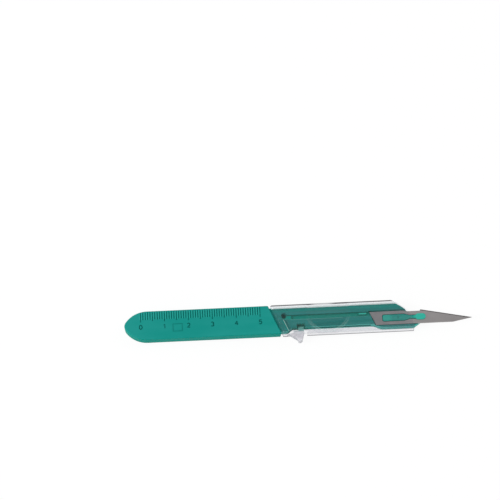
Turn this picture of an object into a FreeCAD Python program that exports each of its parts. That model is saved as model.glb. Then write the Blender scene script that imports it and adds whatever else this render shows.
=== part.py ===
import FreeCAD
import Part
import math
import os
import Sketcher
from FreeCAD import Vector

# A disposable safety scalpel lying flat: a ruled plastic handle, a steel blade hooked on its nose, and a
# clear sleeve that slides forward over the blade once its side button is pressed. Millimetres.
# X runs from the butt to the blade's point, Y towards the cutting edge, Z up from the surface it lies on.
# Each piece is drawn from the butt end, and its placement brings the grip's middle to X = 0.

doc = FreeCAD.newDocument("Scalpel")
sheet = doc.addObject("Spreadsheet::Sheet", "Sizes")

SIZES = [
    ("origin_from_butt", 32.0, "butt end to the middle of the grip's flat underside"),
    ("grip_length", 60.3, "butt end to the shoulder's upper corner"),
    ("shoulder_slant", 5.2, "how much further forward the shoulder's lower corner is"),
    ("grip_width", 12.4, "grip across Y"),
    ("handle_thickness", 5.6, "grip and sleeve, face to face"),
    ("butt_side_radius", 11.0, "side arcs of the butt"),
    ("butt_nose_radius", 2.75, "round end of the butt"),
    ("grip_edge_radius", 0.7, "rounding of the grip's long edges"),
    ("shoulder_corner_radius", 0.5, "rounding of the shoulder's lower corner"),
    ("shield_width", 12.8, "sleeve across Y"),
    ("shield_side_wall", 1.0, "sleeve's wall along its two edges"),
    ("shield_face_wall", 0.75, "sleeve's wall on its two faces"),
    ("shield_edge_radius", 0.85, "rounding of the sleeve's long edges"),
    ("shield_corner_radius", 0.8, "sleeve's rear corner beside the shoulder"),
    ("shield_front_corner_radius", 0.8, "sleeve's front upper corner"),
    ("shield_gap", 0.65, "shoulder to the sleeve's rear end"),
    ("shield_top_setback", 1.2, "sleeve's upper front corner, back from the tongue's"),
    ("shield_lead", 0.25, "how far the sleeve's front stands past the tongue's"),
    ("shield_travel", 28.0, "how far the sleeve slides to cover the point"),
    ("side_clearance", 0.12, "tongue to the sleeve's side walls"),
    ("face_clearance", 0.1, "tongue to the sleeve's face walls"),
    ("tongue_length", 60.8, "shoulder's upper corner to the tongue's lower front corner"),
    ("tongue_taper", 0.15, "how much lower the tongue's upper edge is at the shoulder"),
    ("tongue_top_setback", 7.9, "tongue's upper front corner, back from its lower one"),
    ("tongue_front_setback", 1.7, "foot of the curved front, back from the lower front corner"),
    ("tongue_front_radius", 20.0, "curved front of tongue and sleeve"),
    ("tongue_chamfer", 3.5, "cut corner beside the blade's spine, along X"),
    ("nose_length", 5.9, "nose under the blade, past the tongue's lower front corner"),
    ("nose_side", 1.7, "half width of the nose"),
    ("nose_radius", 1.4, "round corners of the nose"),
    ("blade_axis", -1.21, "centre line of blade and nose, from the handle's centre line"),
    ("blade_length", 42.95, "heel to point"),
    ("blade_width", 5.8, "shank across Y"),
    ("blade_thickness", 0.4, "sheet that the blade is stamped from"),
    ("blade_setback", 18.4, "blade's heel, back from the tongue's lower front corner"),
    ("heel_slant", 2.6, "how much further forward the heel's lower corner is"),
    ("neck_start", 15.3, "heel to the narrow stretch of the shank's upper edge"),
    ("neck_depth", 0.35, "how far the shank narrows there"),
    ("neck_end", 21.15, "heel to the end of that stretch"),
    ("edge_start", 21.5, "heel to the cutting edge's heel"),
    ("edge_step", 0.25, "cutting edge's heel above the shank's upper edge"),
    ("point_drop", 1.3, "point below the blade's axis"),
    ("spine_corner", 34.8, "heel to the bend of the spine"),
    ("blade_raise", 1.2, "blade's middle above the middle of the handle's thickness"),
    ("bevel_width", 0.45, "ground strip along the cutting edge"),
    ("bevel_depth", 0.12, "depth ground off each face"),
    ("seat_clearance", 0.4, "blade to the walls of its seat"),
    ("slot_start", 5.2, "heel to the keyhole slot"),
    ("slot_wide_length", 9.4, "wide stretch of the slot"),
    ("slot_taper", 2.0, "stretch where the slot narrows"),
    ("slot_narrow_length", 6.9, "narrow stretch of the slot"),
    ("slot_width", 3.2, "wide stretch across Y"),
    ("slot_neck_width", 1.9, "narrow stretch across Y"),
    ("post_clearance", 0.3, "post to the edge of the slot"),
    ("post_rise", 0.2, "post above the blade's upper face"),
    ("hook_length", 4.4, "hook over the blade, along X"),
    ("hook_width", 2.6, "hook across Y"),
    ("hook_overhang", 0.3, "hook past the post's front end"),
    ("hook_rise", 0.5, "hook above the blade's upper face"),
    ("hook_edge_radius", 0.25, "rounding of the hook's top"),
    ("mark_width", 0.3, "fine groove across the post"),
    ("mark_length", 1.3, "fine groove across the post, along Y"),
    ("mark_depth", 0.15, "fine groove across the post, depth"),
    ("mark_place", 6.6, "start of the slot to the fine groove"),
    ("groove_start", 9.5, "shoulder's upper corner to the long face groove"),
    ("groove_overrun", 0.8, "long face groove past the blade's heel, into the seat"),
    ("groove_axis", 0.8, "long face groove from the centre line"),
    ("groove_width", 1.7, "long face groove across Y"),
    ("groove_depth", 1.0, "long face groove and dimple"),
    ("bar_setback", 4.5, "rear end of the raised bar in the groove, back from the blade's heel"),
    ("bar_length", 3.3, "raised bar"),
    ("bar_axis", 1.05, "raised bar from the centre line"),
    ("bar_width", 0.8, "raised bar across Y"),
    ("dimple_distance", 6.55, "shoulder's upper corner to the round dimple"),
    ("dimple_axis", 1.6, "round dimple from the centre line"),
    ("dimple_radius", 1.2, "round dimple"),
    ("run_depth", 0.4, "shallow run from the dimple to the long groove"),
    ("stud_radius", 0.4, "stud inside the sleeve that rides in the groove"),
    ("stud_length", 0.3, "stud inside the sleeve"),
    ("tongue_edge_radius", 0.22, "rounding of the tongue's faces along their outline"),
    ("groove_edge_radius", 0.2, "rounding of the grooves' rims and of the bar"),
    ("channel_depth", 1.58, "channel along the tongue's lower edge"),
    ("channel_start", 7.9, "shoulder's upper corner to the channel"),
    ("channel_ramp", 2.0, "slanted rear end of the channel"),
    ("channel_rise", 5.6, "curved front end of the channel"),
    ("stop_gap", 0.1, "button to the channel's front end when the sleeve is right forward"),
    ("lug_clearance", 0.15, "lug to the slot that it runs in, above, below and at its end"),
    ("pocket_reach", 1.65, "pocket for the pressed lug, from the channel's floor"),
    ("pocket_rear_room", 0.6, "pocket behind the lug"),
    ("pocket_front_room", 0.5, "pocket ahead of the lug"),
    ("strap_start", 8.25, "shoulder's upper corner to the strap's root, which is the bending axis"),
    ("strap_thickness", 0.55, "strap across Y"),
    ("strap_height", 2.4, "strap along Z"),
    ("strap_lift", 0.9, "strap's lower edge above the surface"),
    ("button_rear", 0.55, "strap's root to the button's rear flank"),
    ("button_length", 6.45, "strap's root to the button's front face"),
    ("button_reach", 3.2, "button's tip out from the sleeve's edge"),
    ("button_inset", 1.3, "button's inner face in from the sleeve's edge"),
    ("button_clearance", 0.15, "button to the planes of the sleeve's inner faces"),
    ("button_tip_radius", 1.05, "rounding of the button's tip"),
    ("button_tip_setback", 1.8, "button's tip, back from its front face"),
    ("button_edge_radius", 0.3, "rounding of the button's faces"),
    ("lug_start", 4.05, "strap's root to the lug"),
    ("lug_length", 2.3, "lug along X"),
    ("lug_engagement", 0.65, "lug past the channel's floor"),
    ("lug_height", 1.1, "lug along Z"),
    ("window_front_gap", 1.3, "button's front face to the sleeve's wall"),
    ("band_width", 2.0, "flexible band at the sleeve's rear end"),
    ("slit_width", 0.65, "slit that frees the band"),
    ("slit_drop", 0.4, "upper end of the slit below the centre line"),
    ("dish_distance", 25.0, "shoulder's upper corner to the thumb dish's centre"),
    ("dish_axis", 3.2, "thumb dish's centre from the centre line"),
    ("dish_radius", 9.5, "outer rim of the thumb dish"),
    ("dish_rim", 0.8, "sloping rim of the thumb dish"),
    ("dish_depth", 0.25, "thumb dish below the sleeve's face"),
]

for row, (alias, value, meaning) in enumerate(SIZES, start=1):
    sheet.set(f"A{row}", meaning)
    sheet.set(f"B{row}", str(value))
    sheet.setAlias(f"B{row}", alias)
doc.recompute()


class Length:
    """A size in the sheet, or one worked out from such sizes: its value, and the text that binds it."""

    def __init__(self, value, text):
        self.value = float(value)
        self.text = text

    def joined(self, sign, other, value):
        return Length(value, f"({self.text} {sign} {other.text})")

    def __add__(self, other):
        return self.joined("+", other, self.value + other.value)

    def __sub__(self, other):
        return self.joined("-", other, self.value - other.value)

    def __mul__(self, other):
        return self.joined("*", other, self.value * other.value)

    def __truediv__(self, other):
        return self.joined("/", other, self.value / other.value)

    def __neg__(self):
        return Length(-self.value, f"(-{self.text})")

    def root(self):
        return Length(math.sqrt(self.value), f"sqrt({self.text})")


class Sizes:
    """The sheet's sizes by name."""

    def __getattr__(self, alias):
        return Length(sheet.get(alias), f"Sizes.{alias}")


size = Sizes()
NONE = Length(0.0, "0")
TWO = Length(2.0, "2")


def half(length):
    return length / TWO


def new_body(label):
    body = doc.addObject("PartDesign::Body", label)
    body.Label = label
    body.setExpression("Placement.Base.x", "-Sizes.origin_from_butt")
    return body


def new_sketch(body, name, role="XY_Plane", lift=NONE, shift=NONE):
    """A sketch on one of the body's own planes, lifted along the plane's normal and shifted along X."""
    plane = next(item for item in body.Origin.OriginFeatures if item.Role == role)
    sketch = body.newObject("Sketcher::SketchObject", name)
    sketch.AttachmentSupport = [(plane, "")]
    sketch.MapMode = "FlatFace"
    sketch.setExpression("AttachmentOffset.Base.z", lift.text)
    sketch.setExpression("AttachmentOffset.Base.x", shift.text)
    return sketch


def bind(sketch, kind, *where, length):
    """Add a constraint whose value follows the sheet."""
    index = sketch.addConstraint(Sketcher.Constraint(kind, *where, length.value))
    sketch.setExpression(f"Constraints[{index}]", length.text)


def pin(sketch, item, point, x, y):
    """Hold a point of the sketch at its distances from the sketch's origin."""
    for kind, axis, length in (("DistanceX", -2, x), ("DistanceY", -1, y)):
        if abs(length.value) < 1e-9:
            sketch.addConstraint(Sketcher.Constraint("PointOnObject", item, point, axis))
        else:
            bind(sketch, kind, -1, 1, item, point, length=length)


def arc_between(start, end, radius):
    """The shorter arc from start to end. A positive radius turns left, a negative one right."""
    chord = end - start
    left = Vector(-chord.y, chord.x, 0).normalize()
    height = math.sqrt(max(radius ** 2 - (chord.Length / 2) ** 2, 0.0))
    centre = (start + end) * 0.5 + left * math.copysign(height, radius)
    first, last = (start, end) if radius > 0 else (end, start)
    angles = [math.atan2(point.y - centre.y, point.x - centre.x) for point in (first, last)]
    if angles[1] < angles[0]:
        angles[1] += 2 * math.pi
    return Part.ArcOfCircle(Part.Circle(centre, Vector(0, 0, 1), abs(radius)), *angles)


def draw(sketch, path):
    """A closed outline. A corner is (x, y), or (x, y, radius) where an arc leads on to the next one."""
    starts, ends = [], []
    for index, corner in enumerate(path):
        after = path[(index + 1) % len(path)]
        start = Vector(corner[0].value, corner[1].value, 0)
        end = Vector(after[0].value, after[1].value, 0)
        if len(corner) == 2:
            item = sketch.addGeometry(Part.LineSegment(start, end), False)
            points = (1, 2)
        else:
            item = sketch.addGeometry(arc_between(start, end, corner[2].value), False)
            points = (1, 2) if corner[2].value > 0 else (2, 1)
            radius = corner[2] if corner[2].value > 0 else -corner[2]
            bind(sketch, "Radius", item, length=radius)
        starts.append((item, points[0]))
        ends.append((item, points[1]))
        pin(sketch, *starts[-1], corner[0], corner[1])
    for index, end_point in enumerate(ends):
        start_point = starts[(index + 1) % len(path)]
        sketch.addConstraint(Sketcher.Constraint("Coincident", *end_point, *start_point))


def draw_circle(sketch, x, y, radius):
    centre = Vector(x.value, y.value, 0)
    item = sketch.addGeometry(Part.Circle(centre, Vector(0, 0, 1), radius.value), False)
    pin(sketch, item, 3, x, y)
    bind(sketch, "Radius", item, length=radius)


def box_path(low_x, high_x, low_y, high_y):
    return [(low_x, low_y), (high_x, low_y), (high_x, high_y), (low_x, high_y)]


def pad(body, name, sketch, length, downwards=False):
    feature = body.newObject("PartDesign::Pad", name)
    feature.Profile = sketch
    feature.setExpression("Length", length.text)
    feature.Reversed = downwards
    sketch.Visibility = False
    doc.recompute()
    return feature


def pocket(body, name, sketch, length=None, reverse=False):
    """Cut down into the body by a length, or right through it; a cut that takes nothing away is a fault."""
    before = body.Shape.Volume
    feature = body.newObject("PartDesign::Pocket", name)
    feature.Profile = sketch
    feature.Reversed = reverse
    if length is None:
        feature.Type = "ThroughAll"
    else:
        feature.setExpression("Length", length.text)
    doc.recompute()
    if feature.Shape.Volume > before - 1e-3:
        raise RuntimeError(f"{name} cuts nothing")
    return feature


def fillet(body, name, radius, wanted):
    """Round the edges of the body's latest shape that the wanted function picks."""
    base = body.Tip
    edges = [f"Edge{number}" for number, edge in enumerate(base.Shape.Edges, start=1) if wanted(edge)]
    feature = body.newObject("PartDesign::Fillet", name)
    feature.Base = (base, edges)
    feature.setExpression("Radius", radius.text)
    doc.recompute()
    return feature


def near(first, second):
    return abs(first - second) < 1e-4


def level_edge(edge, height):
    return near(edge.BoundBox.ZMin, height) and near(edge.BoundBox.ZMax, height)


def upright_edge_at(edge, x, y):
    ends = edge.Vertexes
    return all(near(end.X, x) and near(end.Y, y) for end in ends) and edge.BoundBox.ZLength > 1e-3


# Heights, from the surface up
top = size.handle_thickness
cavity_floor = size.shield_face_wall
cavity_top = top - size.shield_face_wall
tongue_floor = cavity_floor + size.face_clearance
tongue_top = cavity_top - size.face_clearance
tongue_thickness = tongue_top - tongue_floor
blade_floor = half(top) - half(size.blade_thickness) + size.blade_raise
blade_top = blade_floor + size.blade_thickness

# Widths, from the centre line
grip_side = half(size.grip_width)
shield_side = half(size.shield_width)
cavity_side = shield_side - size.shield_side_wall
tongue_side = cavity_side - size.side_clearance
channel_side = tongue_side - size.channel_depth
blade_upper = size.blade_axis + half(size.blade_width)
blade_lower = size.blade_axis - half(size.blade_width)

# Stations along the handle, from the butt end
shoulder = size.grip_length
tongue_end = shoulder + size.tongue_length
blade_heel = tongue_end - size.blade_setback
slot_start = blade_heel + size.slot_start
slot_wide_end = slot_start + size.slot_wide_length
slot_neck_start = slot_wide_end + size.slot_taper
slot_end = slot_neck_start + size.slot_narrow_length
strap_root = shoulder + size.strap_start
button_front = strap_root + size.button_length
lug_rear = strap_root + size.lug_start
lug_front = lug_rear + size.lug_length
lug_tip = channel_side - size.lug_engagement
lug_floor = half(top) - half(size.lug_height)
lug_top = lug_floor + size.lug_height
channel_start = shoulder + size.channel_start
channel_end = button_front + size.shield_travel + size.stop_gap


def shoulder_at(y):
    """Where the slanted shoulder crosses a height across the handle."""
    return shoulder + (grip_side - y) * size.shoulder_slant / size.grip_width


def butt_outline():
    """The grip: two long arcs meet the round butt and the straight sides without a corner."""
    side = size.butt_side_radius
    nose = size.butt_nose_radius
    across = side - grip_side
    between = side - nose
    along = (between * between - across * across).root()
    side_start = nose + along
    nose_x = side_start - along * side / between
    nose_y = across * nose / between
    return [
        (side_start, -grip_side),
        (shoulder + size.shoulder_slant, -grip_side),
        (shoulder, grip_side),
        (side_start, grip_side, side),
        (nose_x, nose_y, nose),
        (nose_x, -nose_y, side),
    ]


def tongue_outline():
    """The tongue and its nose, with the channel along the lower edge that the button's lug runs in."""
    root = shoulder - size.tongue_chamfer
    ramp_end = channel_start + size.channel_ramp
    bend = half(size.channel_rise)
    bend_drop = half(size.channel_depth)
    bend_radius = (bend * bend + bend_drop * bend_drop) / (bend_drop * TWO)
    nose_lower = size.blade_axis - size.nose_side
    nose_upper = size.blade_axis + size.nose_side
    nose_end = tongue_end + size.nose_length
    corner = size.nose_radius
    front_foot = tongue_end - size.tongue_front_setback
    return [
        (root, -tongue_side),
        (channel_start, -tongue_side),
        (ramp_end, -channel_side),
        (channel_end, -channel_side, -bend_radius),
        (channel_end + bend, -(channel_side + bend_drop), bend_radius),
        (channel_end + size.channel_rise, -tongue_side),
        (tongue_end, -tongue_side),
        (tongue_end + size.tongue_chamfer, nose_lower),
        (nose_end - corner, nose_lower, corner),
        (nose_end, nose_lower + corner),
        (nose_end, nose_upper - corner, corner),
        (nose_end - corner, nose_upper),
        (front_foot, nose_upper, size.tongue_front_radius),
        (tongue_end - size.tongue_top_setback, tongue_side),
        (root, tongue_side - size.tongue_taper),
    ]


def seat_outline():
    """The blade's seat: the shank's outline and a clearance, open at the nose."""
    slack = size.seat_clearance
    open_end = tongue_end + size.nose_length + slack
    return [
        (blade_heel + size.heel_slant - slack, blade_lower - slack),
        (open_end, blade_lower - slack),
        (open_end, blade_upper + slack),
        (blade_heel - slack, blade_upper + slack),
    ]


def keyhole_outline(slack):
    """The blade's keyhole slot, or the post that fills it with some slack all round."""
    axis = size.blade_axis
    wide = half(size.slot_width) - slack
    narrow = half(size.slot_neck_width) - slack
    rear = slot_start + slack
    front = slot_end - slack
    corner = half(wide)
    return [
        (rear + corner, axis - wide),
        (slot_wide_end, axis - wide),
        (slot_neck_start, axis - narrow),
        (front - narrow, axis - narrow, narrow),
        (front, axis, narrow),
        (front - narrow, axis + narrow),
        (slot_neck_start, axis + narrow),
        (slot_wide_end, axis + wide),
        (rear + corner, axis + wide, corner),
        (rear, axis + corner),
        (rear, axis - corner, corner),
    ]


def stadium_outline(low_x, high_x, axis, side):
    """A bar with round ends."""
    return [
        (low_x + side, axis - side),
        (high_x - side, axis - side, side),
        (high_x, axis, side),
        (high_x - side, axis + side),
        (low_x + side, axis + side, side),
        (low_x, axis, side),
    ]


def make_handle():
    """One green moulding: grip, tongue, blade seat and the post that hooks the blade."""
    body = new_body("handle")

    grip = new_sketch(body, "GripOutline")
    draw(grip, butt_outline())
    pad(body, "Grip", grip, top)
    slant_length = math.hypot(size.grip_width.value, size.shoulder_slant.value)
    fillet(body, "GripEdges", size.grip_edge_radius, lambda edge: (
        (level_edge(edge, 0) or level_edge(edge, top.value)) and not near(edge.Length, slant_length)))

    tongue = new_sketch(body, "TongueOutline", lift=tongue_floor)
    draw(tongue, tongue_outline())
    pad(body, "Tongue", tongue, tongue_thickness)
    fillet(body, "TongueEdges", size.tongue_edge_radius, lambda edge: (
        (level_edge(edge, tongue_floor.value) or level_edge(edge, tongue_top.value))
        and edge.BoundBox.XMax > (shoulder + size.shoulder_slant).value + 1e-3))

    seat = new_sketch(body, "SeatOutline", lift=tongue_top)
    draw(seat, seat_outline())
    pocket(body, "BladeSeat", seat, tongue_top - blade_floor)

    post = new_sketch(body, "PostOutline", lift=blade_floor)
    draw(post, keyhole_outline(size.post_clearance))
    pad(body, "Post", post, size.blade_thickness + size.post_rise)

    hook = new_sketch(body, "HookOutline", lift=blade_top)
    hook_front = slot_end - size.post_clearance + size.hook_overhang
    draw(hook, stadium_outline(
        hook_front - size.hook_length, hook_front, size.blade_axis, half(size.hook_width)))
    pad(body, "Hook", hook, size.hook_rise)
    hook_top = (blade_top + size.hook_rise).value
    fillet(body, "HookEdges", size.hook_edge_radius, lambda edge: level_edge(edge, hook_top))

    mark = new_sketch(body, "PostMark", lift=blade_top + size.post_rise)
    mark_start = slot_start + size.mark_place
    mark_side = half(size.mark_length)
    draw(mark, box_path(
        mark_start, mark_start + size.mark_width, size.blade_axis - mark_side, size.blade_axis + mark_side))
    pocket(body, "PostGroove", mark, size.mark_depth)

    groove = new_sketch(body, "FaceGrooveOutline", lift=tongue_top)
    groove_start = shoulder + size.groove_start
    groove_end = blade_heel + size.groove_overrun
    draw(groove, stadium_outline(groove_start, groove_end, size.groove_axis, half(size.groove_width)))
    pocket(body, "FaceGroove", groove, size.groove_depth)

    bar = new_sketch(body, "BarOutline", lift=tongue_top - size.groove_depth)
    bar_start = blade_heel - size.bar_setback
    draw(bar, stadium_outline(bar_start, bar_start + size.bar_length, size.bar_axis, half(size.bar_width)))
    pad(body, "Bar", bar, size.groove_depth)

    dimple = new_sketch(body, "DimpleOutline", lift=tongue_top)
    dimple_x = shoulder + size.dimple_distance
    draw_circle(dimple, dimple_x, size.dimple_axis, size.dimple_radius)
    pocket(body, "Dimple", dimple, size.groove_depth)

    run = new_sketch(body, "RunOutline", lift=tongue_top)
    run_side = half(size.groove_width)
    run_start = dimple_x - size.stud_radius - size.side_clearance
    draw(run, box_path(
        run_start, groove_start + run_side, size.groove_axis - run_side, size.groove_axis + run_side))
    pocket(body, "Run", run, size.run_depth)
    fillet(body, "GrooveRims", size.groove_edge_radius, lambda edge: (
        level_edge(edge, tongue_top.value)
        and edge.BoundBox.YMin > (size.groove_axis - size.groove_width).value
        and edge.BoundBox.YMax < (size.groove_axis + size.groove_width).value
        and edge.BoundBox.XMax < blade_heel.value))

    lug_slot = new_sketch(body, "LugSlotOutline", lift=lug_top + size.lug_clearance)
    slot_depth = size.lug_engagement + size.lug_clearance
    lug_slot_rear = lug_rear - size.pocket_rear_room
    lug_slot_front = lug_front + size.shield_travel + size.lug_clearance
    slot_height = size.lug_height + size.lug_clearance * TWO
    draw(lug_slot, box_path(lug_slot_rear, lug_slot_front, -tongue_side, slot_depth - channel_side))
    pocket(body, "LugSlot", lug_slot, slot_height)

    # The pressed lug finds an open pocket when the sleeve is drawn back, and a covered one at the front.
    for name, step, room, ceiling in (
        ("Rear", NONE, size.pocket_front_room, tongue_top),
        ("Front", size.shield_travel, size.lug_clearance, lug_top + size.lug_clearance),
    ):
        hollow = new_sketch(body, name + "PocketOutline", lift=ceiling)
        draw(hollow, box_path(
            lug_rear + step - size.pocket_rear_room, lug_front + step + room,
            -tongue_side, size.pocket_reach - channel_side))
        pocket(body, name + "Pocket", hollow, ceiling - lug_floor + size.lug_clearance)

    corner = (shoulder + size.shoulder_slant).value
    fillet(body, "ShoulderCorner", size.shoulder_corner_radius, lambda edge: (
        edge.BoundBox.ZLength > 1.0 and near(edge.BoundBox.XMax, corner)
        and near(edge.BoundBox.YMin, -grip_side.value) and edge.BoundBox.XLength < 1e-3))
    return body


def make_blade():
    """One steel stamping with a keyhole slot, ground from both faces along its straight edge."""
    body = new_body("blade")
    outline = new_sketch(body, "BladeOutline", lift=blade_floor)
    neck = blade_upper - size.neck_depth
    edge_heel = (blade_heel + size.edge_start, blade_upper + size.edge_step)
    point = (blade_heel + size.blade_length, size.blade_axis - size.point_drop)
    draw(outline, [
        (blade_heel + size.heel_slant, blade_lower),
        (blade_heel + size.spine_corner, blade_lower),
        point,
        edge_heel,
        (blade_heel + size.neck_end, neck),
        (blade_heel + size.neck_start, neck),
        (blade_heel + size.neck_start - size.neck_depth * TWO, blade_upper),
        (blade_heel, blade_upper),
    ])
    pad(body, "Sheet", outline, size.blade_thickness)

    slot = new_sketch(body, "KeyholeOutline", lift=blade_top)
    draw(slot, keyhole_outline(NONE))
    pocket(body, "Keyhole", slot, size.blade_thickness)

    def cutting(edge):
        box = edge.BoundBox
        return near(box.XMin, edge_heel[0].value) and near(box.XMax, point[0].value) and box.ZLength < 1e-3

    base = body.Tip
    names = [f"Edge{number}" for number, edge in enumerate(base.Shape.Edges, start=1) if cutting(edge)]
    bevel = body.newObject("PartDesign::Chamfer", "Bevel")
    bevel.Base = (base, names)
    bevel.ChamferType = "Two distances"
    bevel.setExpression("Size", size.bevel_width.text)
    bevel.setExpression("Size2", size.bevel_depth.text)
    doc.recompute()
    return body


def make_shield():
    """One clear moulding: a flat sleeve, with a window and a slit that free the band behind the button."""
    body = new_body("shield")

    def rear_at(y):
        return shoulder_at(y) + size.shield_gap

    outline = new_sketch(body, "ShieldOutline")
    front_foot = tongue_end - size.tongue_front_setback + size.shield_lead
    front_top = tongue_end - size.tongue_top_setback - size.shield_top_setback
    draw(outline, [
        (rear_at(-shield_side), -shield_side),
        (tongue_end, -shield_side),
        (tongue_end, -tongue_side),
        (front_foot, size.blade_axis + size.nose_side, size.tongue_front_radius),
        (front_top, shield_side),
        (rear_at(shield_side), shield_side),
    ])
    pad(body, "Sleeve", outline, top)
    fillet(body, "RearCorner", size.shield_corner_radius, lambda edge: (
        upright_edge_at(edge, rear_at(shield_side).value, shield_side.value)))
    fillet(body, "FrontCorner", size.shield_front_corner_radius, lambda edge: (
        upright_edge_at(edge, front_top.value, shield_side.value)))
    fillet(body, "LongEdges", size.shield_edge_radius, lambda edge: (
        edge.BoundBox.XLength > size.shield_travel.value and near(edge.BoundBox.YLength, 0)))

    cavity = new_sketch(body, "CavityOutline", role="YZ_Plane")
    draw(cavity, box_path(-cavity_side, cavity_side, cavity_floor, cavity_top))
    pocket(body, "Cavity", cavity, reverse=True)

    window = new_sketch(body, "WindowOutline", lift=top)
    window_front = button_front + size.window_front_gap
    outside = -(shield_side + size.side_clearance)
    draw(window, [
        (rear_at(outside) + size.band_width, outside),
        (window_front, outside),
        (window_front, -cavity_side),
        (rear_at(-cavity_side) + size.band_width, -cavity_side),
    ])
    pocket(body, "Window", window)

    slit = new_sketch(body, "SlitOutline", lift=top)
    low = -(cavity_side + size.side_clearance)
    high = -size.slit_drop
    draw(slit, [
        (rear_at(low) + size.band_width, low),
        (rear_at(low) + size.band_width + size.slit_width, low),
        (rear_at(high) + size.band_width + size.slit_width, high),
        (rear_at(high) + size.band_width, high),
    ])
    pocket(body, "Slit", slit)

    dish_foot = size.dish_radius - size.dish_rim
    for name, face, floor in (
        ("Upper", top, top - size.dish_depth),
        ("Lower", NONE, size.dish_depth),
    ):
        profile = new_sketch(
            body, name + "DishProfile", role="XZ_Plane",
            lift=-size.dish_axis, shift=shoulder + size.dish_distance)
        draw(profile, [(NONE, floor), (dish_foot, floor), (size.dish_radius, face), (NONE, face)])
        dish = body.newObject("PartDesign::Groove", name + "Dish")
        dish.Profile = profile
        dish.ReferenceAxis = (profile, ["V_Axis"])
        dish.Angle = 360
        doc.recompute()

    stud = new_sketch(body, "StudOutline", lift=cavity_top)
    draw_circle(stud, shoulder + size.dimple_distance, size.groove_axis, size.stud_radius)
    pad(body, "Stud", stud, size.stud_length, downwards=True)
    return body


def make_button():
    """The thumb tab on its strap, and the lug that reaches into the tongue's edge channel."""
    body = new_body("release_button")
    inner = -(shield_side - size.button_inset)
    strap_outer = -shield_side
    strap_inner = strap_outer + size.strap_thickness
    root_radius = half(size.strap_thickness)
    rear = strap_root + size.button_rear
    tip_y = -(shield_side + size.button_reach)
    tip_x = button_front - size.button_tip_setback
    tip = size.button_tip_radius

    tab_floor = cavity_floor + size.button_clearance
    tab_top = cavity_top - size.button_clearance

    tab = new_sketch(body, "TabOutline", lift=tab_floor)
    draw(tab, [
        (rear, strap_outer),
        (tip_x - tip, tip_y + tip, tip),
        (tip_x, tip_y, tip),
        (tip_x + tip, tip_y + tip),
        (button_front, strap_inner),
        (button_front - root_radius, inner),
        (rear + size.button_inset + root_radius, inner),
        (rear + size.button_inset, strap_inner),
    ])
    pad(body, "Tab", tab, tab_top - tab_floor)
    fillet(body, "TabEdges", size.button_edge_radius, lambda edge: (
        (level_edge(edge, tab_floor.value) or level_edge(edge, tab_top.value))
        and edge.BoundBox.YMin < strap_outer.value - 1e-3))

    strap = new_sketch(body, "StrapOutline", lift=size.strap_lift)
    overlap = rear + size.button_inset + size.strap_thickness
    draw(strap, [
        (strap_root, strap_outer),
        (overlap, strap_outer),
        (overlap, strap_inner),
        (strap_root, strap_inner, root_radius),
        (strap_root - root_radius, strap_outer + root_radius, root_radius),
    ])
    pad(body, "Strap", strap, size.strap_height)

    lug = new_sketch(body, "LugOutline", lift=lug_floor)
    draw(lug, box_path(lug_rear, lug_front, inner - size.strap_thickness, -lug_tip))
    pad(body, "Lug", lug, size.lug_height)
    return body


pieces = [make_handle(), make_blade(), make_shield(), make_button()]
doc.recompute()

for item in doc.Objects:
    if "Invalid" in item.State or "Error" in item.State:
        raise RuntimeError(f"{item.Label} failed: {item.State}")

os.makedirs("parts", exist_ok=True)
for piece in pieces:
    shape = piece.Shape
    if shape.isNull() or not shape.isValid() or len(shape.Solids) != 1:
        raise RuntimeError(f"{piece.Label} is not one sound solid")
    shape.exportStep(f"parts/{piece.Label}.step")
    box = shape.BoundBox
    print(f"{piece.Label}: {shape.Volume:.1f} mm3, X {box.XMin:.2f}..{box.XMax:.2f}, "
          f"Y {box.YMin:.2f}..{box.YMax:.2f}, Z {box.ZMin:.2f}..{box.ZMax:.2f}")
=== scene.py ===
import math

import bmesh
import bpy
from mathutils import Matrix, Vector


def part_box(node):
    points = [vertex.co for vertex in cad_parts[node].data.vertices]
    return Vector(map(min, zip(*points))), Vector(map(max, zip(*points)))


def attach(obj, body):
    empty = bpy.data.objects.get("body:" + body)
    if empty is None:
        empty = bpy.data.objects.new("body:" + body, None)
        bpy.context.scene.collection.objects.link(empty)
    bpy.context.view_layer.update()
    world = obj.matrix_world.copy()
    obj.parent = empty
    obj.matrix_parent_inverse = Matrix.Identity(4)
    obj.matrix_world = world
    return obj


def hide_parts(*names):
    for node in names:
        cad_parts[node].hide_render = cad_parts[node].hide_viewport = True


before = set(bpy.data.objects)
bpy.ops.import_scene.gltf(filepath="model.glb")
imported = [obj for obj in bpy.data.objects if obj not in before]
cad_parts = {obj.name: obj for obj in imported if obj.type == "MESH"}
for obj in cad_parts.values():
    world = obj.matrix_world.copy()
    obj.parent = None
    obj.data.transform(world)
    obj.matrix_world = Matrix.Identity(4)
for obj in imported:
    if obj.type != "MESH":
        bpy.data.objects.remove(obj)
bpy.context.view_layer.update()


# HANDLE. One injection moulding in opaque green plastic with a satin skin: the ruled grip, and the tongue
# that carries the sleeve and the blade. The rule, its numerals and a plain frame are sunk into the grip by
# raised metal in the mould, so they are cut here into a copy of the solid and nothing is printed.

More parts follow.
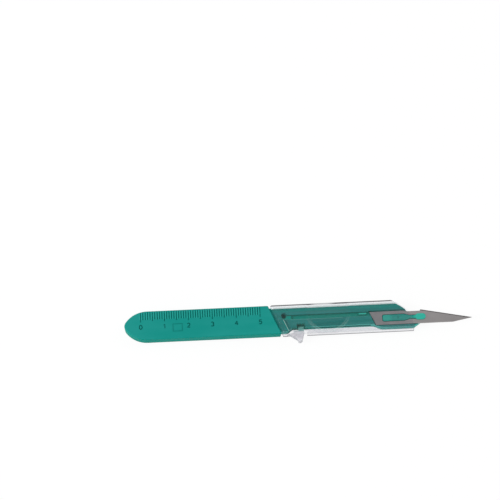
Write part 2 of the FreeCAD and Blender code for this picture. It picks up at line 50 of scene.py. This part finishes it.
MM = 0.001
RULE_START = -25.1 * MM
RULE_MARKS = 51
RULE_STEP = 1.0 * MM
MARK_WIDTH = 0.5 * MM
MARK_DEPTH = 0.3 * MM
MARK_FLARE = 0.8
MARK_OVERSHOOT = 0.6
MARK_SPANS = {
    "centimetre": (1.35 * MM, 6.1 * MM),
    "half": (1.75 * MM, 5.9 * MM),
    "millimetre": (2.35 * MM, 5.75 * MM),
}
NUMERAL_HEIGHT = 1.75 * MM
NUMERAL_Y = -0.8 * MM
NUMERAL_STROKE = 0.25 * MM
NUMERAL_LIFT = 0.04 * MM
FRAME_CENTRE = (-9.7 * MM, -1.56 * MM)
FRAME_SIZE = (4.2 * MM, 3.5 * MM)
FRAME_LINE = 0.36 * MM
FRAME_DEPTH = 0.08 * MM
WELD = 0.001 * MM
CREASE = math.radians(35)

handle_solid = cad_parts["handle"]
grip_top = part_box("handle")[1].z


def sink_mark(cutter, x, low_y, high_y):
    """Add a wedge that cuts one mark of the rule, with its keel along the mark."""
    half_roof = MARK_WIDTH * MARK_FLARE
    roof = grip_top + MARK_DEPTH * MARK_OVERSHOOT
    keel = grip_top - MARK_DEPTH
    ends = []
    for y, slope in ((low_y, MARK_WIDTH / 2), (high_y, 0.0)):
        ends.append([
            cutter.verts.new((x, y + slope, keel)),
            cutter.verts.new((x + half_roof, y - slope, roof)),
            cutter.verts.new((x - half_roof, y - slope, roof)),
        ])
    cutter.faces.new(ends[0])
    cutter.faces.new(ends[1][::-1])
    for index in range(3):
        after = (index + 1) % 3
        cutter.faces.new((ends[0][index], ends[0][after], ends[1][after], ends[1][index]))


def arc(centre_x, centre_y, across, along, first, last, steps):
    """Points of an elliptical arc, in shares of the numeral's height; the angles are in degrees."""
    points = []
    for step in range(steps + 1):
        angle = math.radians(first + (last - first) * step / steps)
        points.append((centre_x + across * math.cos(angle), centre_y + along * math.sin(angle)))
    return points


# Each numeral is a list of pen strokes. A stroke is its points, in shares of the numeral's height, and
# whether it closes on itself.
NUMERAL_STROKES = {
    "0": [(arc(0, 0, 0.33, 0.5, 90, 450, 24)[:-1], True)],
    "1": [([(-0.22, 0.28), (0.04, 0.5), (0.04, -0.5)], False)],
    "2": [(arc(0, 0.22, 0.3, 0.28, 165, -40, 10) + [(-0.32, -0.5), (0.34, -0.5)], False)],
    "3": [(arc(-0.02, 0.25, 0.28, 0.25, 150, -80, 9)
           + arc(-0.02, -0.24, 0.32, 0.26, 80, -150, 9), False)],
    "4": [([(0.38, -0.2), (-0.36, -0.2), (0.14, 0.5)], False),
          ([(0.14, 0.42), (0.14, -0.5)], False)],
    "5": [([(0.28, 0.5), (-0.22, 0.5), (-0.26, 0.06)]
           + arc(-0.02, -0.17, 0.32, 0.33, 120, -140, 11), False)],
}


def shape_of(source):
    """The mesh of an object with its modifiers or its bevel worked out."""
    return bpy.data.meshes.new_from_object(source.evaluated_get(bpy.context.evaluated_depsgraph_get()))


def sink_stroke(cutter, points, closed, x):
    """Add a round tube that sinks one pen stroke of a numeral under its mark."""
    pen = bpy.data.curves.new("stroke", "CURVE")
    pen.dimensions = "3D"
    pen.bevel_depth = NUMERAL_STROKE
    pen.bevel_resolution = 2
    pen.use_fill_caps = True
    line = pen.splines.new("POLY")
    line.points.add(len(points) - 1)
    line.use_cyclic_u = closed
    for point, (along_x, along_y) in zip(line.points, points):
        place_x = x + along_x * NUMERAL_HEIGHT
        place_y = NUMERAL_Y + along_y * NUMERAL_HEIGHT
        point.co = (place_x, place_y, grip_top + NUMERAL_LIFT, 1)
    stamp = bpy.data.objects.new("stroke", pen)
    bpy.context.scene.collection.objects.link(stamp)
    bpy.context.view_layer.update()
    cutter.from_mesh(shape_of(stamp))
    bpy.data.objects.remove(stamp)


def sink_frame(cutter):
    """Add the four sides of the plain frame as one closed ring, so that no two blocks overlap."""
    middle_x, middle_y = FRAME_CENTRE
    rings = []
    for grow in (0.0, -FRAME_LINE):
        half_x = FRAME_SIZE[0] / 2 + grow
        half_y = FRAME_SIZE[1] / 2 + grow
        for z in (grip_top - FRAME_DEPTH, grip_top + FRAME_DEPTH):
            rings.append([
                cutter.verts.new((middle_x + side_x * half_x, middle_y + side_y * half_y, z))
                for side_x, side_y in ((-1, -1), (1, -1), (1, 1), (-1, 1))
            ])
    outer_low, outer_high, inner_low, inner_high = rings
    loop = (outer_low, outer_high, inner_high, inner_low, outer_low)
    for first, second in zip(loop, loop[1:]):
        for index in range(4):
            after = (index + 1) % 4
            cutter.faces.new((first[index], first[after], second[after], second[index]))


def add_piece(name, shape):
    """Put a finished bmesh into the scene as an object of that name."""
    mesh = bpy.data.meshes.new(name)
    shape.to_mesh(mesh)
    shape.free()
    piece = bpy.data.objects.new(name, mesh)
    bpy.context.scene.collection.objects.link(piece)
    return piece


moulding_shape = bmesh.new()
moulding_shape.from_mesh(handle_solid.data)
bmesh.ops.remove_doubles(moulding_shape, verts=moulding_shape.verts, dist=WELD)
handle = add_piece("handle_moulding", moulding_shape)
if "custom_normal" in handle.data.attributes:
    handle.data.attributes.remove(handle.data.attributes["custom_normal"])

engraving = bmesh.new()
for number in range(RULE_MARKS):
    kind = "centimetre" if number % 10 == 0 else "half" if number % 5 == 0 else "millimetre"
    mark_x = RULE_START + number * RULE_STEP
    sink_mark(engraving, mark_x, *MARK_SPANS[kind])
    if kind == "centimetre":
        for points, closed in NUMERAL_STROKES[str(number // 10)]:
            sink_stroke(engraving, points, closed, mark_x)
sink_frame(engraving)
bmesh.ops.remove_doubles(engraving, verts=engraving.verts, dist=WELD)
bmesh.ops.recalc_face_normals(engraving, faces=engraving.faces)
cutter = add_piece("engraving", engraving)
cut = handle.modifiers.new("engraving", "BOOLEAN")
cut.object = cutter
cut.operation = "DIFFERENCE"
cut.solver = "EXACT"
cut.use_self = True
bpy.context.view_layer.update()
engraved = shape_of(handle)
handle.modifiers.remove(cut)
handle.data = engraved
engraved.name = "handle_moulding"
bpy.data.objects.remove(cutter)

# Smooth shading with sharp creases, and normals that leave the flat faces flat.
handle.data.shade_smooth()
handle.data.set_sharp_from_angle(angle=CREASE)
weighting = handle.modifiers.new("flat_faces", "WEIGHTED_NORMAL")
weighting.keep_sharp = True


class Signal:
    """A value that runs through a material's nodes, and takes part in plain arithmetic."""

    def __init__(self, tree, socket):
        self.tree = tree
        self.socket = socket

    def node(self, kind, settings=None, sockets=None, output=0):
        """Another node of the same material: its settings come first, then the values of its sockets."""
        made = self.tree.nodes.new("ShaderNode" + kind)
        for name, value in (settings or {}).items():
            setattr(made, name, value)
        for name, value in (sockets or {}).items():
            if isinstance(value, Signal):
                self.tree.links.new(value.socket, made.inputs[name])
            else:
                made.inputs[name].default_value = value
        return Signal(self.tree, made.outputs[output])

    def math(self, operation, *values):
        return self.node("Math", {"operation": operation}, dict(enumerate(values)))

    def __add__(self, other):
        return self.math("ADD", self, other)

    __radd__ = __add__

    def __sub__(self, other):
        return self.math("SUBTRACT", self, other)

    def __rsub__(self, other):
        return self.math("SUBTRACT", other, self)

    def __mul__(self, other):
        return self.math("MULTIPLY", self, other)

    __rmul__ = __mul__

    def __gt__(self, other):
        return self.math("GREATER_THAN", self, other)

    def __lt__(self, other):
        return self.math("LESS_THAN", self, other)

    def size(self):
        return self.math("ABSOLUTE", self)

    def either(self, other):
        return self.math("MAXIMUM", self, other)

    def eased(self, low, high, start=0.0, end=1.0):
        """Start below low, end above high, and a smooth change between them."""
        return self.node("MapRange", {"interpolation_type": "SMOOTHSTEP"}, {
            "Value": self, "From Min": low, "From Max": high, "To Min": start, "To Max": end})

    def fading(self, low, high):
        """1 below low, 0 above high, and a smooth change between them."""
        return self.eased(low, high, 1, 0)

    def near(self, middle, core, rim):
        """1 within the core on both sides of a middle, and 0 beyond the rim."""
        return (self - middle).size().fading(core, rim)

    def within(self, low, high):
        """1 between the two limits, and 0 outside them."""
        return (self > low) * (self < high)

    def colour(self, first, second):
        """The first colour where this value is 0, and the second where it is 1."""
        return self.node("Mix", {"data_type": "RGBA"}, {0: self, 6: first, 7: second}, 2)

    def axis(self, name):
        return self.node("SeparateXYZ", None, {0: self}, name)

    def stretched(self, along_x, along_y, along_z):
        """A place in the piece, with each axis multiplied, in marks per metre."""
        return self.node("VectorMath", {"operation": "MULTIPLY"}, {0: self, 1: (along_x, along_y, along_z)})

    def reach_from(self, centre):
        """How far a place lies from the upright line through that centre."""
        return self.node("VectorMath", {"operation": "DISTANCE"}, {
            0: self.stretched(1, 1, 0), 1: (*centre, 0)}, "Value")

    def noise(self, scale=1.0, detail=2.0, roughness=0.5):
        return self.node("TexNoise", None, {
            "Vector": self, "Scale": scale, "Detail": detail, "Roughness": roughness})

    def bump(self, depth, strength):
        return self.node("Bump", None, {"Height": self, "Distance": depth, "Strength": strength})


def screen_colour(red, green, blue):
    """The linear colour of a swatch that is given as it shows on a screen."""
    def linear(level):
        share = level / 255
        return share / 12.92 if share <= 0.04045 else ((share + 0.055) / 1.055) ** 2.4
    return (linear(red), linear(green), linear(blue), 1.0)


def new_finish(name, plain):
    """A material with its plain values set, a place in the piece, and a function that links a socket."""
    material = bpy.data.materials.new(name)
    material.use_nodes = True
    tree = material.node_tree
    shader = tree.nodes["Principled BSDF"]
    for socket, value in plain.items():
        shader.inputs[socket].default_value = value
    place = Signal(tree, tree.nodes.new("ShaderNodeTexCoord").outputs["Object"])

    def varies(socket, signal):
        tree.links.new(signal.socket, shader.inputs[socket])
    return material, place, varies


def finish_piece(piece, material):
    piece.data.materials.clear()
    piece.data.materials.append(material)


GREEN = screen_colour(25, 153, 143)
GREEN_PALE = screen_colour(36, 158, 149)
GREEN_DEEP = screen_colour(14, 116, 104)
GREEN_SUNK_SHADE = screen_colour(6, 104, 96)
GREEN_SHADE = screen_colour(6, 70, 64)
GREEN_RIM = screen_colour(96, 184, 170)
GREEN_BRIGHT = screen_colour(60, 190, 170)
GREEN_UPPER_LIT = screen_colour(34, 168, 156)
GREEN_GREY = screen_colour(46, 144, 138)
GREEN_SHADE_TINT = screen_colour(2, 160, 143)
GREEN_WALL_LIT = screen_colour(92, 206, 192)
GREEN_SIDE_SHADE = screen_colour(4, 152, 138)
GREEN_RIDGE_HIGHLIGHT = screen_colour(58, 184, 172)

RULE_END = RULE_START + (RULE_MARKS - 1) * RULE_STEP
RULE_REAR = RULE_START - 0.7 * MM
RULE_ACROSS = (-4 * MM, 5.4 * MM)
SUNK_EASE = (0.02 * MM, 0.16 * MM)
SUNK_LIMIT = 0.35 * MM
SUNK_WANES = (0.6 * MM, 1.2 * MM)
RIDGE_EASE = (0.3 * MM, 0.45 * MM)
RIDGE_LIMIT = 0.02 * MM
RIDGE_FOOT = 2.3 * MM
SIDE_TOP = 0.05 * MM
SHOULDER_LINE = 30.9 * MM
SHOULDER_SLOPE = 0.419
SHOULDER_LEAD = 0.05 * MM
TONGUE_TOP = 4.75 * MM
UPPER_STRIP = (3.0 * MM, 3.7 * MM)
LOWER_WALL = -3 * MM
RIM_SKIN = 0.01 * MM
RIM_DEPTH = 0.22 * MM
RIM_FOOT = -2 * MM
SEAT_START = 70.7 * MM
GROOVE_AXIS = 0.8 * MM
GROOVE_HALF = 1.0 * MM
RIM_LINE_Y = -0.1 * MM
RIM_LINE_EASE = (0.15 * MM, 0.4 * MM)
RIM_LINE_SPAN = (37.5 * MM, 59.5 * MM)
RIM_LINE_DEPTH = 0.3 * MM
BAR_CENTRE = (67.85 * MM, 1.05 * MM)
BAR_SLIMNESS = 0.2
BAR_EASE = (0.55 * MM, 0.75 * MM)
BAR_DEPTH = 0.15 * MM
DIMPLE_CENTRE = (34.85 * MM, 1.6 * MM)
DIMPLE_EASE = (0.5 * MM, 1.1 * MM)
POCKET_SPAN = (38 * MM, 46 * MM)
POCKET_END = -1 * MM
POST_START = (74.8 * MM, 75.4 * MM)
POST_WANES = (78.5 * MM, 80.5 * MM)
POST_FLOOR = 3.85 * MM
POST_AXIS = -1.21 * MM
POST_HALF = 1.5 * MM
HOOK_START = (88 * MM, 90 * MM)

green_plastic, place, varies = new_finish("green_satin_plastic", {
    "IOR": 1.49, "Specular IOR Level": 0.05})
x, y, z = (place.axis(name) for name in "XYZ")
normal = Signal(place.tree, place.socket.node.outputs["Normal"])
normal_y = normal.axis("Y")
flow = place.stretched(60, 220, 220).noise(detail=3.0)
cloud = place.noise(90)
grain = place.noise(5200, detail=3.0, roughness=0.6)
drawn = place.stretched(26, 620, 620).noise(detail=2.5, roughness=0.6)
on_tongue = (x + y * SHOULDER_SLOPE - SHOULDER_LINE) > SHOULDER_LEAD
on_rule = (1 - on_tongue) * (x > RULE_REAR) * y.within(*RULE_ACROSS)

# The grip: painted shade in the sunk marks and numerals, a painted highlight on the narrow ridges left
# between the marks, and painted shade on its sides.
skin = (flow * 0.5 + cloud * 0.5).eased(0.35, 0.65).colour(GREEN, GREEN_PALE)
# Painted shade: the sunk marks and numerals are darkened in colour.
sunk_shade = (grip_top - z).eased(*SUNK_EASE) * (z > grip_top - SUNK_LIMIT)
sunk_shade = sunk_shade * on_rule * y.eased(*SUNK_WANES, 1, 0.6)
grip_tone = sunk_shade.colour(skin, GREEN_SUNK_SHADE)
# The distance is counted from a whole number of steps behind the rule, so that it is never below zero.
before_rule = RULE_START - 1000 * RULE_STEP
from_mark = x.math("PINGPONG", x - before_rule, RULE_STEP / 2)
# Painted highlight on the narrow ridges left between the marks.
ridge_highlight = from_mark.eased(*RIDGE_EASE) * (z > grip_top - RIDGE_LIMIT)
ridge_highlight = ridge_highlight * on_rule * (y > RIDGE_FOOT) * (x < RULE_END)
grip_tone = (ridge_highlight * 0.7).colour(grip_tone, GREEN_RIDGE_HIGHLIGHT)
# Painted shade on the grip's upright sides.
upright = normal.axis("Z").size().fading(0.35, 0.85)
grip_side_shade = upright * (z < grip_top - SIDE_TOP) * (1 - on_rule)
grip_tone = grip_side_shade.colour(grip_tone, GREEN_SIDE_SHADE)

# The tongue: lengthwise streaks with painted light along its upper side, the groove and the pocket that
# takes the lug in a stronger green as painted shade, and painted light on the lower wall.
# Painted light: the tongue is lighter along its upper side than below it; the lengthwise streaks over it
# come from noise.
streaks_and_painted_light = y.eased(*UPPER_STRIP).colour(GREEN_GREY, GREEN_UPPER_LIT)
streaks_and_painted_light = (drawn.eased(0.3, 0.7) * 0.5).colour(streaks_and_painted_light, GREEN_DEEP)
below_rim = z < TONGUE_TOP - RIM_DEPTH
# Painted shade: the groove is given a stronger green, so that the shade in it reads deep green.
in_groove = on_tongue * below_rim * ((y - GROOVE_AXIS).size() < GROOVE_HALF) * (x < SEAT_START)
tone = on_tongue.colour(grip_tone, in_groove.colour(streaks_and_painted_light, GREEN_SHADE_TINT))
# Painted light: the tongue's lower wall, where it faces forward, is made paler.
lit_lower_wall = on_tongue * normal_y.fading(-0.95, -0.6) * (y < LOWER_WALL)
tone = lit_lower_wall.colour(tone, GREEN_WALL_LIT)
# Painted shade: the pocket beside the lug takes the same stronger green.
by_pocket = on_tongue * below_rim * (y < POCKET_END) * x.within(*POCKET_SPAN)
tone = by_pocket.colour(tone, GREEN_SHADE_TINT)

# The post that stands in the blade's slot, and its hook over the blade: both catch the light.
on_post = x.eased(*POST_START) * (z > POST_FLOOR) * (1 - ((y - POST_AXIS).size() > POST_HALF))
post_light = on_post * x.eased(*POST_WANES, 0.75, 0.35).either(x.eased(*HOOK_START))
tone = post_light.colour(tone, GREEN_BRIGHT)

# Light and shade on the rounded rims of the groove, on its raised bar, and in the dimple.
rim_line = y.near(RIM_LINE_Y, *RIM_LINE_EASE) * x.within(*RIM_LINE_SPAN)
tone = (rim_line * (z > TONGUE_TOP - RIM_LINE_DEPTH) * 0.55).colour(tone, GREEN_RIM)
at_rim = on_tongue * z.within(TONGUE_TOP - RIM_DEPTH, TONGUE_TOP - RIM_SKIN)
at_rim = at_rim * (x < SEAT_START) * (y > RIM_FOOT)
tone = (at_rim * normal_y.eased(0.15, 0.5) * 0.85).colour(tone, GREEN_RIM)
tone = (at_rim * normal_y.fading(-0.5, -0.15) * 0.8).colour(tone, GREEN_SHADE)
bar_x, bar_y = BAR_CENTRE
on_bar = ((x - bar_x).size() * BAR_SLIMNESS + (y - bar_y).size()).fading(*BAR_EASE)
tone = (on_bar * (z > TONGUE_TOP - BAR_DEPTH)).colour(tone, GREEN_BRIGHT)
in_dimple = place.reach_from(DIMPLE_CENTRE).fading(*DIMPLE_EASE) * below_rim
tone = (in_dimple * 0.9).colour(tone, GREEN_SHADE)

varies("Base Color", tone)
varies("Roughness", 0.46 + cloud * 0.1 + grain * 0.06 + on_tongue * 0.03)
varies("Normal", grain.bump(0.006 * MM, 0.6))
finish_piece(handle, green_plastic)
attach(handle, "handle")
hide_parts("handle")


# BLADE. A stainless strip 0.4 mm thick, stamped with its keyhole slot and hooked on the handle's post. Its
# flats keep a fine matt grain along the strip. The cutting edge is ground across it in a narrow band, which
# shows darker than the flats.

STEEL = screen_colour(190, 186, 186)
STEEL_GROUND = screen_colour(120, 117, 117)
STEEL_STAIN = screen_colour(140, 136, 137)
EDGE_HEEL = (92.2 * MM, 1.94 * MM)
EDGE_POINT = (113.65 * MM, -2.51 * MM)
GROUND_WIDTH = 0.45 * MM
DULLER_POINT = (96 * MM, 112 * MM)
SCRATCHES_PER_METRE = 14000

edge_length = math.dist(EDGE_HEEL, EDGE_POINT)
along_x = (EDGE_POINT[0] - EDGE_HEEL[0]) / edge_length
along_y = (EDGE_POINT[1] - EDGE_HEEL[1]) / edge_length

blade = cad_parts["blade"]
steel, place, varies = new_finish("ground_steel", {"Metallic": 1.0})
x, y = (place.axis(name) for name in "XY")
from_edge = (x - EDGE_HEEL[0]) * along_y - (y - EDGE_HEEL[1]) * along_x
ground = (from_edge < GROUND_WIDTH) * (x > EDGE_HEEL[0])
rolled = place.stretched(300, 9000, 300).noise()
down_edge = (x * along_x + y * along_y) * SCRATCHES_PER_METRE
scratched = place.node("TexNoise", {"noise_dimensions": "1D"}, {"W": down_edge, "Scale": 1.0, "Detail": 2.0})
stain = place.noise(160, detail=3.0)
stained = stain.eased(0.35, 0.75) * 0.25 + x.eased(*DULLER_POINT) * 0.2
varies("Base Color", stained.colour(ground.colour(STEEL, STEEL_GROUND), STEEL_STAIN))
varies("Roughness", 0.34 + rolled * 0.12 + stain * 0.06 - ground * 0.08)
lines = ground * scratched + (1 - ground) * rolled
varies("Normal", lines.bump(0.004 * MM, 0.5))
finish_piece(blade, steel)


# SLEEVE. One injection moulding in clear plastic that slides along the tongue, with a flexible band at its
# rear end and a round thumb dish in each face. Its walls are 0.75 mm to 1 mm thick, so what lies behind them
# shows through under a thin veil of painted reflection. The rounded edges are painted grey as painted shade,
# and the dish's rim and the band's slit catch light as painted highlights.

FILM = screen_colour(248, 249, 250)
EDGE_PAINTED_GREY = screen_colour(50, 50, 56)
VEIL_REFLECTION = screen_colour(226, 226, 230)
VEIL_LOW = screen_colour(158, 118, 148)
DISH_SHADE = screen_colour(52, 62, 64)
GLINT = screen_colour(186, 232, 218)
LIP_HIGHLIGHT_WHITE = screen_colour(240, 248, 250)

SLEEVE_SIDE = 6.4 * MM
SLEEVE_TOP = 5.6 * MM
EDGE_BAND = (0.63 * MM, 0.9 * MM)
LOWER_EDGE_LIFT = 0.8 * MM
EDGE_PALES_AT = 51 * MM
EDGE_PALES = (2 * MM, 6 * MM)
LIP_Y = 4.85 * MM
LIP_EASE = (0.25 * MM, 0.5 * MM)
LIP_DEPTH = 0.5 * MM
SLIT_LINE = 34.15 * MM
SLIT_ENDS = (-4.6 * MM, -0.4 * MM)
SLIT_SKIN = 0.1 * MM
GLINT_EASE = (0.15 * MM, 0.45 * MM)
SHADE_OFFSET = 0.85 * MM
SHADE_EASE = (0.3 * MM, 0.7 * MM)
DISH_CENTRE = (53.3 * MM, 3.2 * MM)
DISH_RINGS = (9.5 * MM, 8.7 * MM)
DISH_FLOOR = 4.9 * MM
DISH_WANES = (-2 * MM, 1.5 * MM)
RING_WIDTH = 0.24 * MM
RING_FLOOR = 5.2 * MM
RING_FADE = (-4.5 * MM, 1.5 * MM)
LOW_BAND = (-5.2 * MM, -4.6 * MM)

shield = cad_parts["shield"]
clear, place, varies = new_finish("clear_plastic_wall", {"IOR": 1.5, "Specular IOR Level": 0.8})
x, y, z = (place.axis(name) for name in "XYZ")
turned = place.node("LayerWeight", None, {"Blend": 0.5}, "Facing")

# The two long edges painted grey, as painted shade where refraction darkens a clear wall: the upper one on
# the face, and the lower one by the surface below.
upper_half = y > 0
side_depth = SLEEVE_SIDE - y.size()
face_depth = upper_half * (SLEEVE_TOP - z) + (1 - upper_half) * z
edge_depth = face_depth - (1 - upper_half) * LOWER_EDGE_LIFT
corner = side_depth.fading(*EDGE_BAND) * edge_depth.fading(*EDGE_BAND)
paler = (x - EDGE_PALES_AT).size().eased(*EDGE_PALES, 0.5, 1)
edge = corner * (upper_half * paler).either(turned.eased(0.2, 0.4))

# A painted white highlight inside the upper edge, and the low wall's tint.
lip_highlight = y.near(LIP_Y, *LIP_EASE) * (z > SLEEVE_TOP - LIP_DEPTH)
low_band = y.fading(*LOW_BAND)

# The slit along the shoulder's slant: a glint on it, and a strip of shade past it.
past_slit = x + y * SHOULDER_SLOPE - SLIT_LINE
by_slit = (y < SLIT_ENDS[1]) * (z > SLEEVE_TOP - SLIT_SKIN)
slit_glint = past_slit.size().fading(*GLINT_EASE) * by_slit
slit_shade = past_slit.near(SHADE_OFFSET, *SHADE_EASE) * by_slit * (y > SLIT_ENDS[0])

# The dish: its two rims catch light along their lower part, and its floor is a little darker there.
reach = place.reach_from(DISH_CENTRE)
outer_ring, inner_ring = (reach.near(radius, 0, RING_WIDTH) for radius in DISH_RINGS)
rings = outer_ring.either(inner_ring) * (z > RING_FLOOR) * y.fading(*RING_FADE)
glints = rings.either(slit_glint)
in_dish = (reach < DISH_RINGS[1]) * (z > DISH_FLOOR) * y.eased(*DISH_WANES, 1, 0.25)

haze = place.noise(1400, detail=3.0)
drawn = place.stretched(40, 900, 900).noise()
# A thin veil of the solid wall everywhere: its whitish colour is painted reflection, streaked lengthwise and
# thicker where the wall turns edge-on.
painted_veil = 0.012 + drawn.eased(0.3, 0.8) * 0.02 + turned.eased(0.5, 1.0) * 0.1
share = painted_veil + edge * 0.9 + glints * 0.32 + slit_glint * 0.22 + in_dish * 0.07
share = share + low_band * 0.05 + lip_highlight * 0.65 + slit_shade * 0.2
solid = share.math("MINIMUM", share, 1.0)
tone = in_dish.either(slit_shade).colour(VEIL_REFLECTION, DISH_SHADE)
tone = low_band.colour(tone, VEIL_LOW)
tone = glints.colour(tone, GLINT)
tone = lip_highlight.colour(tone, LIP_HIGHLIGHT_WHITE)
varies("Base Color", edge.colour(tone, EDGE_PAINTED_GREY))
varies("Roughness", 0.06 + haze * 0.08)
varies("Normal", place.stretched(70, 160, 160).noise(detail=1.0).bump(0.03 * MM, 0.35))


def show_through(material, tint, solid_share):
    """Mix the shader over a clear film: the share is how solid the wall looks at each place."""
    tree = material.node_tree
    film = tree.nodes.new("ShaderNodeBsdfTransparent")
    film.inputs["Color"].default_value = tint
    choice = tree.nodes.new("ShaderNodeMixShader")
    tree.links.new(solid_share.socket, choice.inputs[0])
    tree.links.new(film.outputs[0], choice.inputs[1])
    tree.links.new(tree.nodes["Principled BSDF"].outputs[0], choice.inputs[2])
    tree.links.new(choice.outputs[0], tree.nodes["Material Output"].inputs["Surface"])


show_through(clear, FILM, solid)
finish_piece(shield, clear)


# RELEASE BUTTON. A thumb tab on a thin strap, moulded in the same plastic but with a frosted skin, with a
# small lug inside. Pressed, it swings about the strap's root and moves the lug into a pocket beside the
# channel. The lug is painted green as a painted reflection of the tongue's green round and through it, and
# the tab's edge-on faces carry painted shade.

FROSTED = screen_colour(222, 219, 228)
FROSTED_PALE = screen_colour(234, 232, 238)
FROSTED_TIP = screen_colour(247, 245, 251)
FROSTED_RIM = screen_colour(120, 128, 134)
LUG_PAINTED_GREEN = screen_colour(118, 232, 214)
TIP_FADE = (-9.0 * MM, -7.8 * MM)
INNER_FACE = (-5.6 * MM, -5.0 * MM)

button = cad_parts["release_button"]
frosted, place, varies = new_finish("frosted_plastic_skin", {"IOR": 1.5})
y = place.axis("Y")
mottle = place.noise(700, detail=3.0)
pitting = place.noise(4200)
tone = mottle.eased(0.3, 0.7).colour(FROSTED, FROSTED_PALE)
tone = y.fading(*TIP_FADE).colour(tone, FROSTED_TIP)
# Painted shade: a darker grey where the tab's faces turn edge-on.
rim = place.node("LayerWeight", None, {"Blend": 0.5}, "Facing").eased(0.3, 0.6) * 0.3
# Painted reflection: the inner face and the lug are painted green, as the tongue's green shows in them.
inside = y.eased(*INNER_FACE)
varies("Base Color", rim.either(inside * 0.8).colour(tone, inside.colour(FROSTED_RIM, LUG_PAINTED_GREEN)))
varies("Roughness", 0.32 + pitting * 0.16)
varies("Normal", pitting.bump(0.01 * MM, 0.6))
show_through(frosted, FILM, (1 - inside * 0.2) * (0.62 + mottle * 0.2))
finish_piece(button, frosted)


# STUDIO. A floor that shows as plain white and keeps a faint shadow, under a white sky, with one soft lamp
# from the left, a weaker one from the right, and a long lens high above the scalpel.

FLOOR_RADIUS = 2.0
FLOOR_ALBEDO = 0.8
FLOOR_OWN_LIGHT = 0.88
FLOOR_LEVEL = 1.02
SKY_BAND = (0.1, 0.75)
SKY_TOP = 0.42
LAMP_AIM = Vector((0.04, 0, 0))
LENS = 120
SENSOR = 36
PICTURE_WIDTH = 209.2 * MM
CAMERA_AZIMUTH = math.radians(-2.77)
CAMERA_ELEVATION = math.radians(70)
BUTT = Vector((-32.0, 0.0, 3.63)) * MM
AIM_RIGHT = 52.5 * MM
AIM_UP = 32.5 * MM

disc = bmesh.new()
bmesh.ops.create_circle(disc, cap_ends=True, segments=96, radius=FLOOR_RADIUS)
floor = add_piece("floor", disc)
white_floor = bpy.data.materials.new("white_floor")
white_floor.use_nodes = True
tree = white_floor.node_tree
tree.nodes.remove(tree.nodes["Principled BSDF"])
path = tree.nodes.new("ShaderNodeLightPath")
by_camera, by_gloss, by_glass = (
    Signal(tree, path.outputs[kind]) for kind in ("Is Camera Ray", "Is Glossy Ray", "Is Transmission Ray"))
seen = by_camera.either(by_gloss).either(by_glass)
paint = seen.node("BsdfDiffuse", None, {"Color": (FLOOR_ALBEDO, FLOOR_ALBEDO, FLOOR_ALBEDO, 1)})
own_strength = (FLOOR_LEVEL - FLOOR_ALBEDO * (1 - FLOOR_OWN_LIGHT)) / FLOOR_OWN_LIGHT
own_light = seen.node("Emission", None, {"Strength": own_strength})
mixed = seen.node("MixShader", None, {0: seen * FLOOR_OWN_LIGHT, 1: paint, 2: own_light})
tree.links.new(mixed.socket, tree.nodes["Material Output"].inputs["Surface"])
finish_piece(floor, white_floor)

world = bpy.data.worlds.new("soft_studio")
world.use_nodes = True
tree = world.node_tree
path = tree.nodes.new("ShaderNodeLightPath")
by_camera, by_glass = (Signal(tree, path.outputs[kind]) for kind in ("Is Camera Ray", "Is Transmission Ray"))
direct = by_camera.either(by_glass)
way = Signal(tree, tree.nodes.new("ShaderNodeTexCoord").outputs["Generated"])
sky = way.axis("Z").eased(*SKY_BAND, 1.0, SKY_TOP)
strength = direct + (1 - direct) * sky
tree.links.new(strength.socket, tree.nodes["Background"].inputs["Strength"])
tree.nodes["Background"].inputs["Color"].default_value = (1, 1, 1, 1)
bpy.context.scene.world = world


def add_softbox(name, place, size, power):
    """A round lamp of that size, which looks at the scalpel."""
    lamp = bpy.data.lights.new(name, "AREA")
    lamp.shape = "DISK"
    lamp.size = size
    lamp.energy = power
    box = bpy.data.objects.new(name, lamp)
    box.location = place
    box.rotation_mode = "QUATERNION"
    box.rotation_quaternion = (Vector(place) - LAMP_AIM).to_track_quat("Z", "Y")
    bpy.context.scene.collection.objects.link(box)


add_softbox("key_softbox", place=(-0.8, -0.15, 0.62), size=0.4, power=4.2)
add_softbox("fill_softbox", place=(0.85, 0.35, 0.7), size=0.6, power=1.8)

camera_data = bpy.data.cameras.new("camera")
camera_data.lens = LENS
camera_data.sensor_width = SENSOR
camera = bpy.data.objects.new("camera", camera_data)
bpy.context.scene.collection.objects.link(camera)
turn, tilt = CAMERA_AZIMUTH, CAMERA_ELEVATION
right = Vector((math.cos(turn), math.sin(turn), 0))
up = Vector((-math.sin(turn) * math.sin(tilt), math.cos(turn) * math.sin(tilt), math.cos(tilt)))
back = right.cross(up)
camera.location = BUTT + right * AIM_RIGHT + up * AIM_UP + back * (PICTURE_WIDTH * LENS / SENSOR)
camera.rotation_mode = "QUATERNION"
camera.rotation_quaternion = back.to_track_quat("Z", "Y")
bpy.context.scene.camera = camera
bpy.context.scene.view_settings.view_transform = "Standard"
